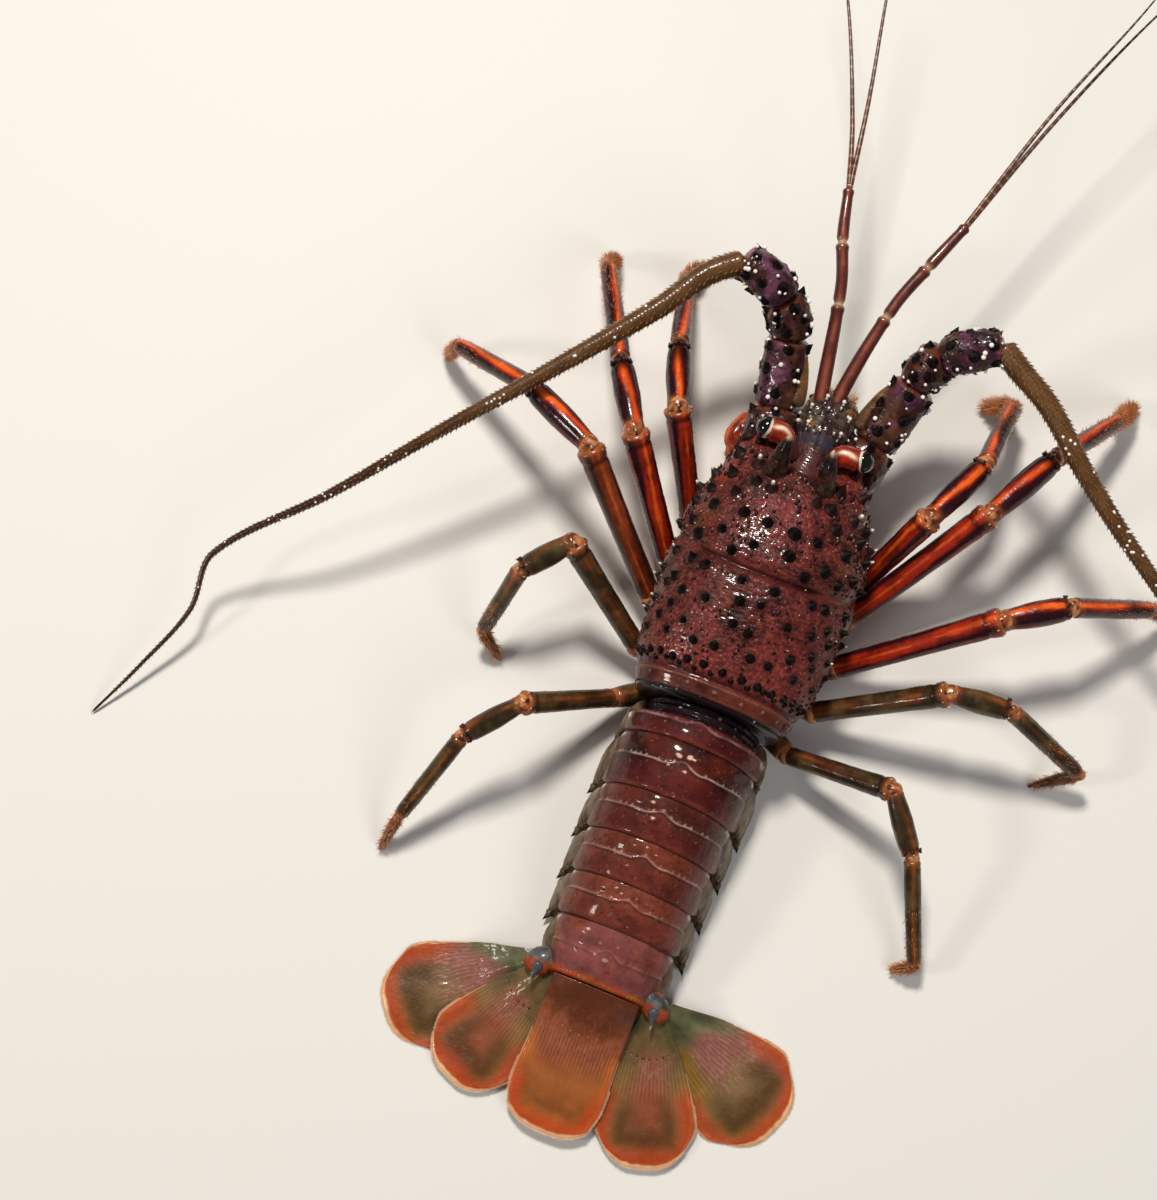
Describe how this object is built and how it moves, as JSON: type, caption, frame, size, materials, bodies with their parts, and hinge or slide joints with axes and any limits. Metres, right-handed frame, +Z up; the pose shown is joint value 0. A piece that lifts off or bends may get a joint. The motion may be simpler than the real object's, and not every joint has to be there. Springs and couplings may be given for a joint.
{
  "type": "spiny lobster model",
  "caption": "Life-size still model of a spiny lobster lying on its belly, with spiny carapace, long bent antennae, spread walking legs and fanned tail.",
  "frame": {"origin": "on the floor, under the middle of the thorax, on the flat underside of the thorax", "axes": "+Z up, +Y towards the head, +X towards the animal's right side"},
  "size_m": [0.4618, 0.4832, 0.0725],
  "materials": {
    "carapace_shell": "wet, granular, maroon-brown shell",
    "abdomen_shell": "wet, smooth, dark maroon-brown shell",
    "underside_shell": "satin, pale tan shell",
    "head_plate": "glossy, wrinkled, grey-brown plate",
    "tail_fan": "glossy, ribbed, olive-brown with orange rim",
    "eyestalk": "glossy, orange-red with cream band",
    "cornea": "polished, black",
    "antenna_stalk": "glossy, purple-brown with black spots",
    "antenna_whip": "satin, olive-brown, finely ringed",
    "antennule": "satin, red-brown",
    "leg_shell": "wet, dark maroon with orange stripes"
  },
  "bodies": {
    "root": {"carapace": "carapace_shell", "thorax_underside": "underside_shell", "antennular_plate": "head_plate", "abdomen_1": "abdomen_shell", "abdomen_2": "abdomen_shell", "abdomen_3": "abdomen_shell", "abdomen_4": "abdomen_shell", "abdomen_5": "abdomen_shell", "abdomen_6": "abdomen_shell", "telson": "tail_fan", "uropod_left_outer": "tail_fan", "uropod_left_inner": "tail_fan", "eyestalk_left": "eyestalk", "eye_left": "cornea", "antenna_left_base": "antenna_stalk", "antenna_left_segment_1": "antenna_stalk", "antenna_left_segment_2": "antenna_stalk", "antenna_left_segment_3": "antenna_stalk", "antenna_left_flagellum_base": "antenna_whip", "antenna_left_flagellum_middle": "antenna_whip", "antenna_left_flagellum_tip": "antenna_whip", "antennule_left_stalk": "antennule", "antennule_left_outer": "antennule", "antennule_left_inner": "antennule", "maxilliped_left": "leg_shell", "uropod_right_outer": "tail_fan", "uropod_right_inner": "tail_fan", "eyestalk_right": "eyestalk", "eye_right": "cornea", "antenna_right_base": "antenna_stalk", "antenna_right_segment_1": "antenna_stalk", "antenna_right_segment_2": "antenna_stalk", "antenna_right_segment_3": "antenna_stalk", "antenna_right_flagellum_base": "antenna_whip", "antenna_right_flagellum_middle": "antenna_whip", "antenna_right_flagellum_tip": "antenna_whip", "antennule_right_stalk": "antennule", "antennule_right_outer": "antennule", "antennule_right_inner": "antennule", "maxilliped_right": "leg_shell", "leg_left_1_upper": "leg_shell", "leg_left_1_lower": "leg_shell", "leg_left_2_upper": "leg_shell", "leg_left_2_lower": "leg_shell", "leg_left_3_upper": "leg_shell", "leg_left_3_lower": "leg_shell", "leg_left_4_upper": "leg_shell", "leg_left_4_lower": "leg_shell", "leg_left_5_upper": "leg_shell", "leg_left_5_lower": "leg_shell", "leg_right_1_upper": "leg_shell", "leg_right_1_lower": "leg_shell", "leg_right_2_upper": "leg_shell", "leg_right_2_lower": "leg_shell", "leg_right_3_upper": "leg_shell", "leg_right_3_lower": "leg_shell", "leg_right_4_upper": "leg_shell", "leg_right_4_lower": "leg_shell", "leg_right_5_upper": "leg_shell", "leg_right_5_lower": "leg_shell"}
  },
  "joints": []
}
